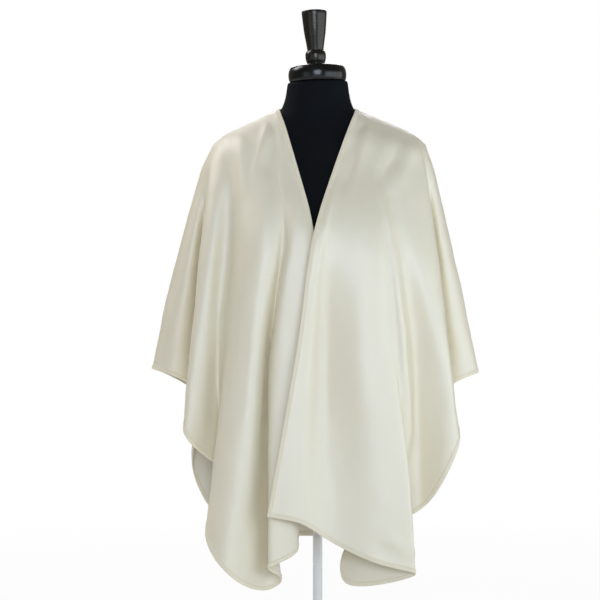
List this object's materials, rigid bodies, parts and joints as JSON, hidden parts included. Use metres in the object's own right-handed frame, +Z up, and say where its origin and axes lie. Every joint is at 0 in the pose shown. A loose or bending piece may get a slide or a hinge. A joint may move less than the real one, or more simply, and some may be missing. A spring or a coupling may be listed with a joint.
{
  "type": "ruana on a dress form",
  "caption": "Ivory felted wool ruana with turned edges, open at the front and draped over a black limbless dress form on a pole and round base.",
  "frame": {"origin": "centre of the base plate's underside, where the part rests on the floor", "axes": "+Z up; the wearer's front faces -Y and the wearer's right is -X"},
  "size_m": [0.6338, 0.3372, 1.1611],
  "materials": {
    "ivory_wool": "smooth felted wool with a soft sheen",
    "ivory_edge": "turned and stitched wool edge",
    "black_jersey": "fine matt jersey",
    "black_lacquer": "glossy black lacquer",
    "white_enamel": "satin white enamel"
  },
  "bodies": {
    "root": {"ruana_front_left": "ivory_wool", "ruana_front_right": "ivory_wool", "ruana_back": "ivory_wool", "edge_band_front_left": "ivory_edge", "edge_band_front_right": "ivory_edge", "form_torso": "black_jersey", "form_neck_cap": "black_lacquer", "form_finial": "black_lacquer", "stand_base": "white_enamel", "stand_pole": "white_enamel", "stand_hub": "white_enamel"}
  },
  "joints": []
}
